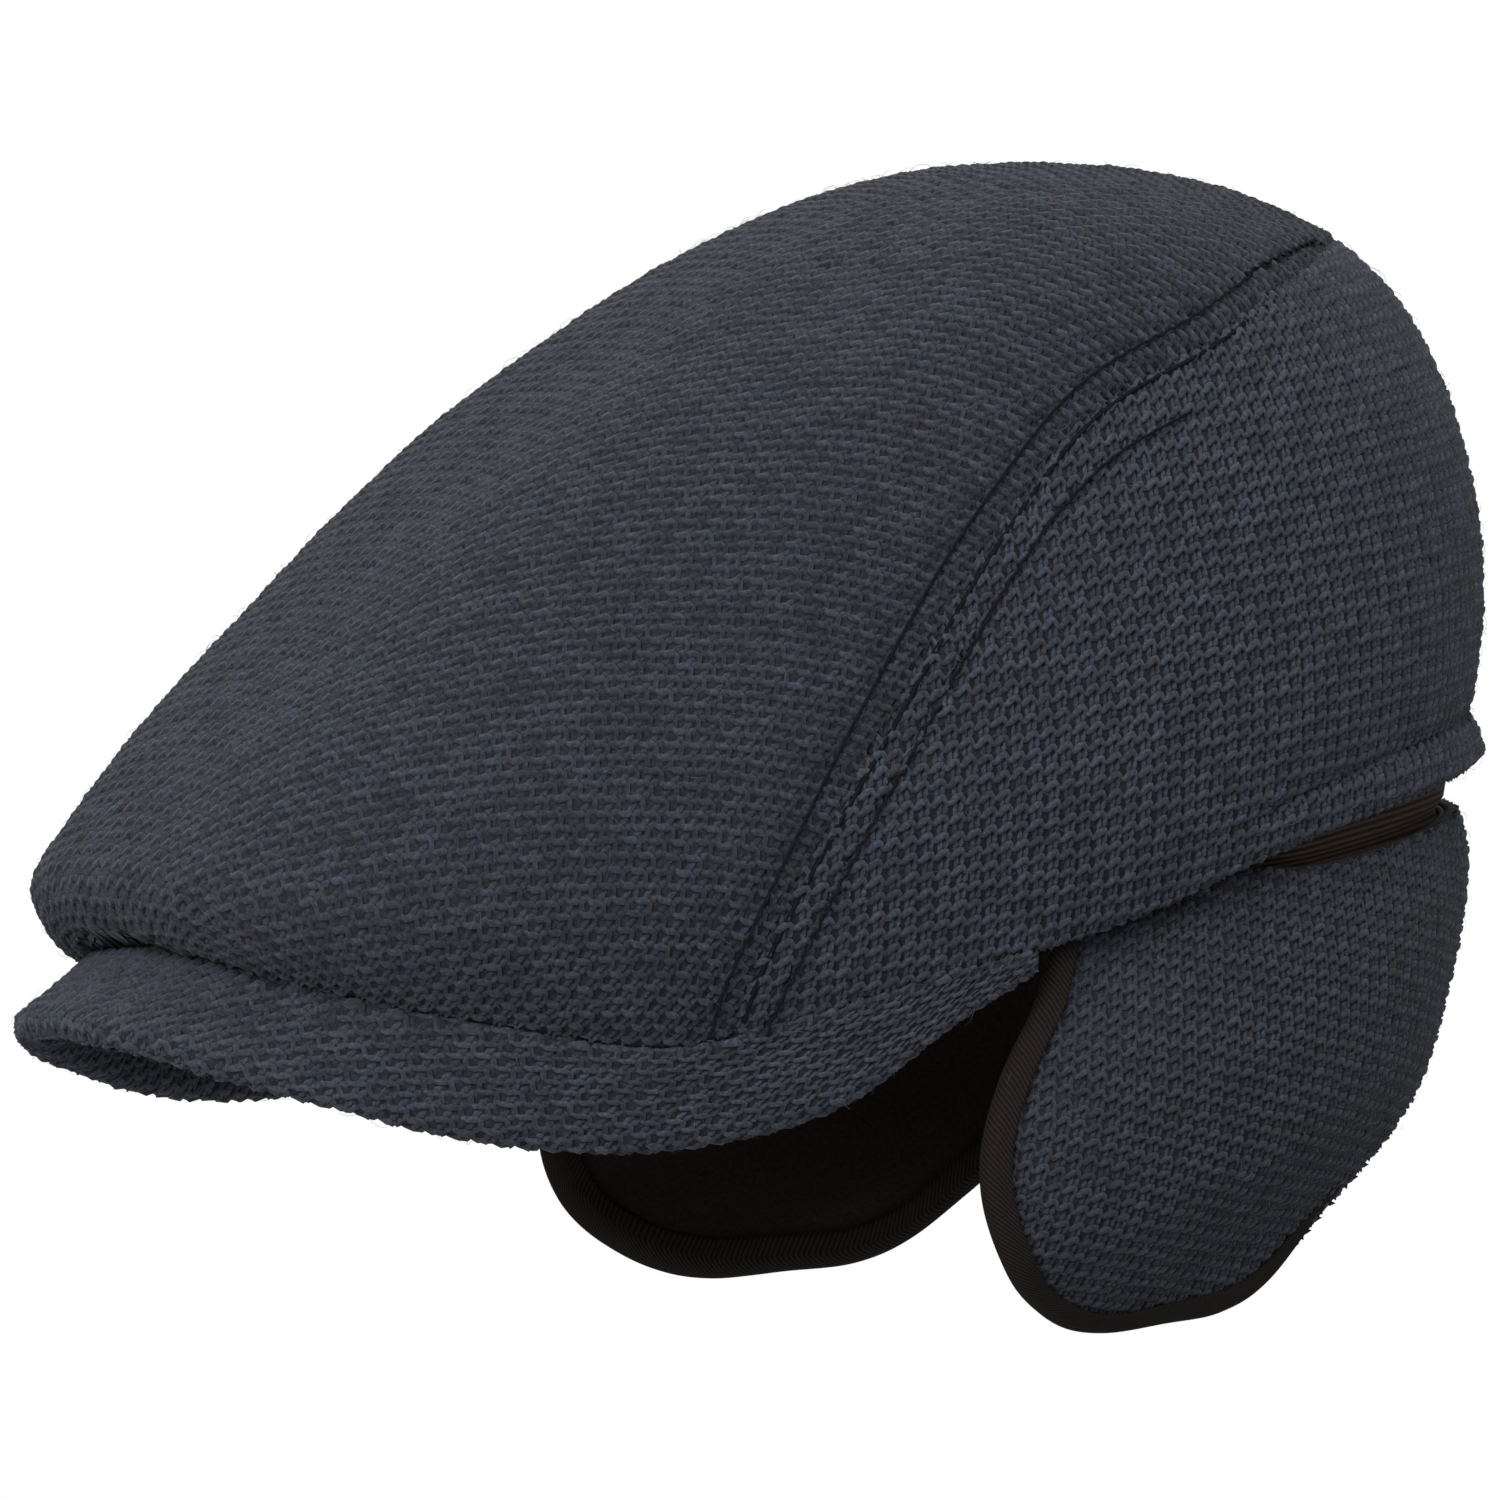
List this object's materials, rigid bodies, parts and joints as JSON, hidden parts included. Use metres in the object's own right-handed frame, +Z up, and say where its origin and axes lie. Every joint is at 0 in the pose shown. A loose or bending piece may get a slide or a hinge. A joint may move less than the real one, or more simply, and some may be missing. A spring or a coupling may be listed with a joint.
{
  "type": "knitted flat cap with ear flaps",
  "caption": "Soft knitted flat cap with a stiff duckbill peak and a bound ear-and-neck flap turned down round the back and sides.",
  "frame": {"origin": "in the head opening, midway between the temples, on the line where the head rests in the cap", "axes": "-Y is the way the wearer faces, +X is the wearer's left and +Z is up, as the cap is worn"},
  "size_m": [0.1768, 0.2755, 0.205],
  "materials": {
    "navy_knit": "matt heather wool knit",
    "black_lining": "matt woven lining",
    "black_twill": "fine matt twill tape"
  },
  "bodies": {
    "root": {"crown_top": "navy_knit", "crown_side_left": "navy_knit", "crown_side_right": "navy_knit", "peak": "navy_knit", "ear_flap": "navy_knit", "flap_lining": "black_lining", "flap_binding": "black_twill", "flap_tape": "black_twill"}
  },
  "joints": []
}
